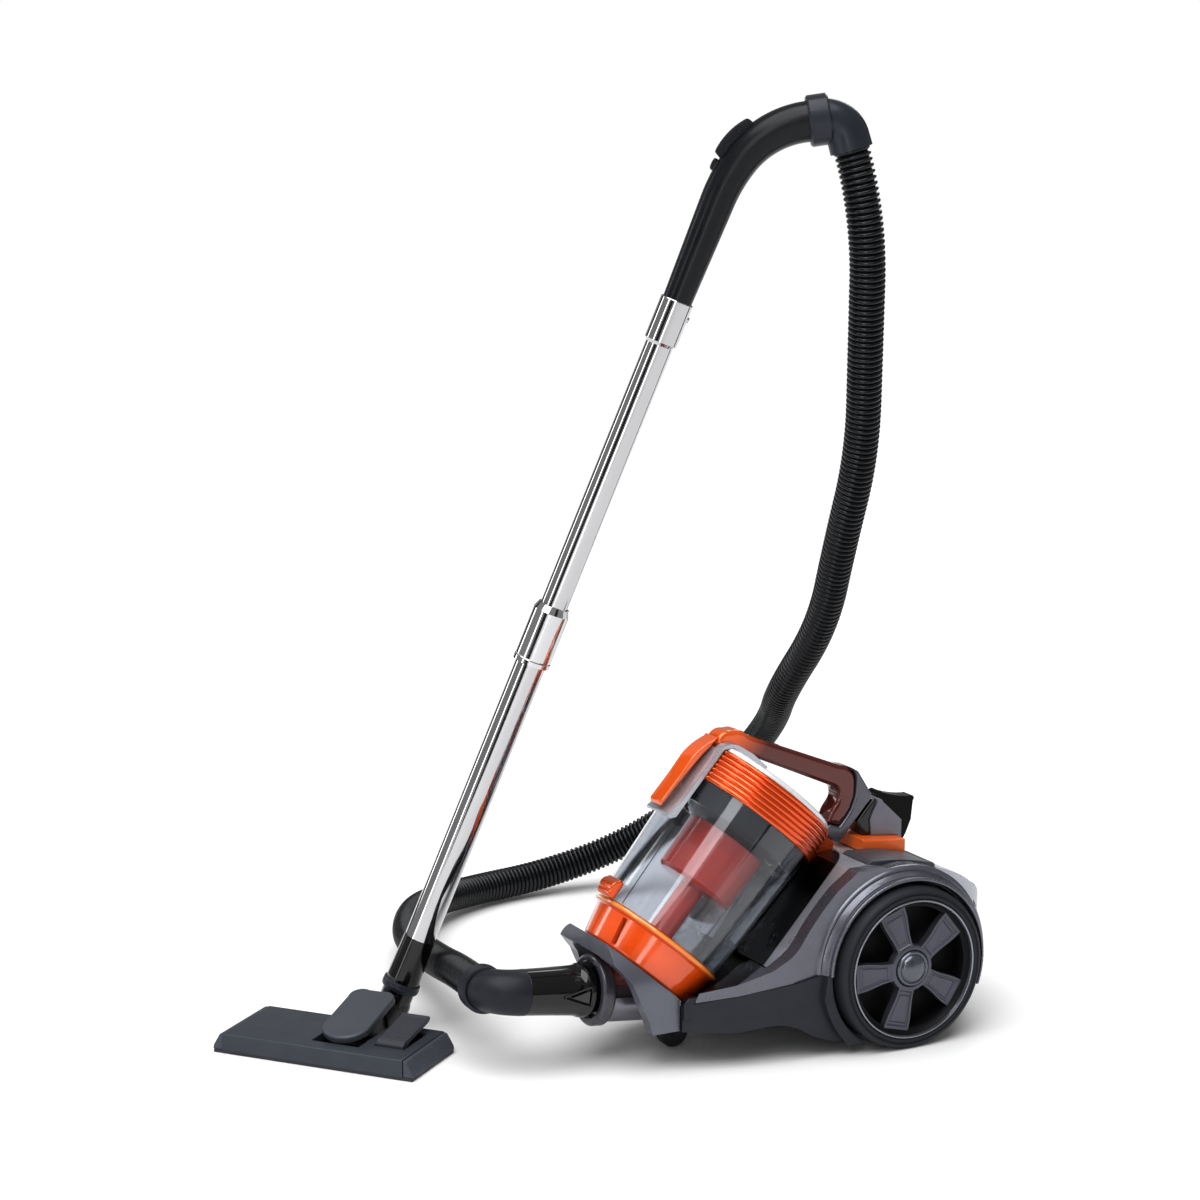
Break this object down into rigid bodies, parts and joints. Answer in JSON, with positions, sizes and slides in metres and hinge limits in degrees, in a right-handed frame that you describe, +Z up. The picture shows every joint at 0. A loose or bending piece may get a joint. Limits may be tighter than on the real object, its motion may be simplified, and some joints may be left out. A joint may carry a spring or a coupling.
{
  "type": "canister vacuum cleaner",
  "caption": "Bagless canister vacuum with a tilted clear dust cup, spoked rear wheels, corrugated hose, telescopic chrome tube and flat floor head.",
  "frame": {"origin": "on the floor, in the middle of the footprint of everything but the hose", "axes": "+Z up, the canister's nose points along -Y and its left side is +X"},
  "size_m": [0.775, 0.8556, 1.0764],
  "materials": {
    "tyre_left": "matt",
    "tyre_right": "matt",
    "rim_left": "satin silver paint",
    "rim_right": "satin silver paint",
    "stub_axles": "plain",
    "caster_fork": "matt",
    "caster_wheel": "matt",
    "chassis_base": "fine texture",
    "upper_shell": "satin silver",
    "fender_left": "satin silver",
    "fender_right": "satin silver",
    "power_pedal": "satin",
    "rewind_pedal": "satin",
    "exhaust_grille": "matt",
    "exhaust_filter": "pleated",
    "front_bracket": "satin",
    "deck_strip": "glossy",
    "latch_tower": "satin",
    "dock_block": "glossy",
    "parking_hook": "satin",
    "inlet_ring": "satin",
    "inlet_tube": "satin",
    "motor_housing": "matt",
    "motor_rotor": "plain",
    "cord_reel": "matt",
    "reel_spindle": "plain",
    "cord_outlet": "matt",
    "chassis_screws": "plain",
    "cup_base_lid": "glossy",
    "cup_shell": "clear, smoke tint",
    "cup_collar": "satin",
    "lid_ring": "satin, ribbed",
    "lid_cap": "satin",
    "cyclone": "glossy",
    "cup_filter": "pleated",
    "handle_grip": "glossy, amber",
    "handle_leg": "satin",
    "lid_visor": "satin silver",
    "release_lever": "glossy",
    "base_latch": "glossy",
    "inlet_connector": "glossy",
    "connector_button": "satin",
    "hose_cuff": "satin",
    "hose": "corrugated",
    "hose_elbow": "satin",
    "handle_tube": "satin",
    "suction_slider": "grained",
    "upper_tube": "mirror",
    "lower_tube": "mirror",
    "lock_sleeve": "polished",
    "neck_tube": "satin",
    "neck_yoke": "satin",
    "neck_cover": "satin",
    "hinge_pin": "plain",
    "head_shell": "satin",
    "end_cap_left": "grained",
    "end_cap_right": "grained",
    "sole_plate": "polished",
    "brush_strips": "bristle",
    "head_pedal": "grained"
  },
  "bodies": {
    "canister": {"chassis_base": "chassis_base", "upper_shell": "upper_shell", "fender_left": "fender_left", "fender_right": "fender_right", "stub_axles": "stub_axles", "exhaust_grille": "exhaust_grille", "exhaust_filter": "exhaust_filter", "front_bracket": "front_bracket", "deck_strip": "deck_strip", "latch_tower": "latch_tower", "dock_block": "dock_block", "parking_hook": "parking_hook", "inlet_ring": "inlet_ring", "inlet_tube": "inlet_tube", "motor_housing": "motor_housing", "reel_spindle": "reel_spindle", "cord_outlet": "cord_outlet", "chassis_screws": "chassis_screws", "inlet_connector": "inlet_connector", "hose_cuff": "hose_cuff", "hose": "hose", "hose_elbow": "hose_elbow", "handle_tube": "handle_tube", "upper_tube": "upper_tube"},
    "left_wheel": {"tyre_left": "tyre_left", "rim_left": "rim_left"},
    "right_wheel": {"tyre_right": "tyre_right", "rim_right": "rim_right"},
    "caster": {"caster_fork": "caster_fork"},
    "caster_roller": {"caster_wheel": "caster_wheel"},
    "power_switch": {"power_pedal": "power_pedal"},
    "rewind_switch": {"rewind_pedal": "rewind_pedal"},
    "fan": {"motor_rotor": "motor_rotor"},
    "reel": {"cord_reel": "cord_reel"},
    "cup": {"cup_base_lid": "cup_base_lid", "cup_shell": "cup_shell", "cup_collar": "cup_collar", "lid_ring": "lid_ring", "lid_cap": "lid_cap", "cyclone": "cyclone", "cup_filter": "cup_filter", "handle_grip": "handle_grip", "handle_leg": "handle_leg", "lid_visor": "lid_visor"},
    "lever": {"release_lever": "release_lever"},
    "latch": {"base_latch": "base_latch"},
    "plug_button": {"connector_button": "connector_button"},
    "slider": {"suction_slider": "suction_slider"},
    "lower_wand": {"lower_tube": "lower_tube", "neck_tube": "neck_tube"},
    "sleeve": {"lock_sleeve": "lock_sleeve"},
    "yoke": {"neck_yoke": "neck_yoke", "neck_cover": "neck_cover"},
    "head": {"head_shell": "head_shell", "hinge_pin": "hinge_pin", "end_cap_left": "end_cap_left", "end_cap_right": "end_cap_right", "sole_plate": "sole_plate"},
    "head_switch": {"head_pedal": "head_pedal"},
    "brush": {"brush_strips": "brush_strips"}
  },
  "joints": [
    {"name": "left_wheel_spin", "type": "hinge", "parent": "canister", "child": "left_wheel", "pos_m": [0.19417, 0.28806, 0.095], "axis": [1, 0, 0], "continuous": true},
    {"name": "right_wheel_spin", "type": "hinge", "parent": "canister", "child": "right_wheel", "pos_m": [-0.04583, 0.28806, 0.095], "axis": [1, 0, 0], "continuous": true},
    {"name": "caster_swivel", "type": "hinge", "parent": "canister", "child": "caster", "pos_m": [0.07417, 0.03806, 0.045], "axis": [0, 0, 1], "continuous": true},
    {"name": "caster_roll", "type": "hinge", "parent": "caster", "child": "caster_roller", "pos_m": [0.07417, 0.05006, 0.018], "axis": [1, 0, 0], "continuous": true},
    {"name": "power_pedal_press", "type": "hinge", "parent": "canister", "child": "power_switch", "pos_m": [0.13917, 0.25306, 0.2], "axis": [-1, 0, 0], "range_deg": [0, 3], "stiffness_Nm_per_rad": 3, "springref_deg": -1.15},
    {"name": "rewind_pedal_press", "type": "hinge", "parent": "canister", "child": "rewind_switch", "pos_m": [0.00917, 0.25306, 0.2], "axis": [-1, 0, 0], "range_deg": [0, 3], "stiffness_Nm_per_rad": 3, "springref_deg": -1.15},
    {"name": "fan_spin", "type": "hinge", "parent": "canister", "child": "fan", "pos_m": [0.07417, 0.28006, 0.092], "axis": [1, 0, 0], "continuous": true},
    {"name": "reel_spin", "type": "hinge", "parent": "canister", "child": "reel", "pos_m": [0.00817, 0.31406, 0.098], "axis": [1, 0, 0], "continuous": true},
    {"name": "cup_lift", "type": "slide", "parent": "canister", "child": "cup", "axis": [0, -0.2599, 0.9656], "range_m": [0, 0.25]},
    {"name": "release_lever_pull", "type": "hinge", "parent": "cup", "child": "lever", "pos_m": [0.07417, 0.09721, 0.35708], "axis": [-1, 0, 0], "range_deg": [0, 8], "stiffness_Nm_per_rad": 0.5, "springref_deg": -5.73},
    {"name": "base_latch_press", "type": "slide", "parent": "cup", "child": "latch", "axis": [0, 0.749, -0.6626], "range_m": [0, 0.002], "stiffness_N_per_m": 400, "springref_m": -0.001},
    {"name": "plug_button_press", "type": "slide", "parent": "canister", "child": "plug_button", "axis": [-1, 0, 0], "range_m": [0, 0.002], "stiffness_N_per_m": 400, "springref_m": -0.001},
    {"name": "suction_slider_move", "type": "hinge", "parent": "canister", "child": "slider", "pos_m": [0.08879, 0.22362, 0.93579], "axis": [-0.8862, 0.4633, 0], "range_deg": [-3, 3]},
    {"name": "telescope_slide", "type": "slide", "parent": "canister", "child": "lower_wand", "axis": [0.1721, 0.3291, 0.9285], "range_m": [-0.06, 0.2], "deforming": ["hose", "hose_cuff"]},
    {"name": "lock_sleeve_slide", "type": "slide", "parent": "lower_wand", "child": "sleeve", "axis": [0.1721, 0.3291, 0.9285], "range_m": [0, 0.008], "stiffness_N_per_m": 300, "springref_m": -0.001},
    {"name": "neck_swivel", "type": "hinge", "parent": "lower_wand", "child": "yoke", "pos_m": [-0.13597, -0.2063, 0.02609], "axis": [-0.6286, 0.7652, 0.1392], "range_deg": [-35, 35], "deforming": ["hose", "hose_cuff"]},
    {"name": "neck_tilt", "type": "hinge", "parent": "yoke", "child": "head", "pos_m": [-0.07105, -0.28638, 0.016], "axis": [0.7727, 0.6347, 0], "range_deg": [-20, 1], "deforming": ["hose", "hose_cuff"]},
    {"name": "head_pedal_press", "type": "hinge", "parent": "head", "child": "head_switch", "pos_m": [-0.00854, -0.2648, 0.025], "axis": [-0.7727, -0.6347, 0], "range_deg": [0, 8], "stiffness_Nm_per_rad": 2, "springref_deg": -1.72},
    {"name": "brush_drop", "type": "slide", "parent": "head", "child": "brush", "axis": [0, 0, -1], "range_m": [0, 0.0044]}
  ],
  "couplings": [
    {"joint": "brush_drop", "follows": "head_pedal_press", "m_per_rad": 0.03148}
  ]
}
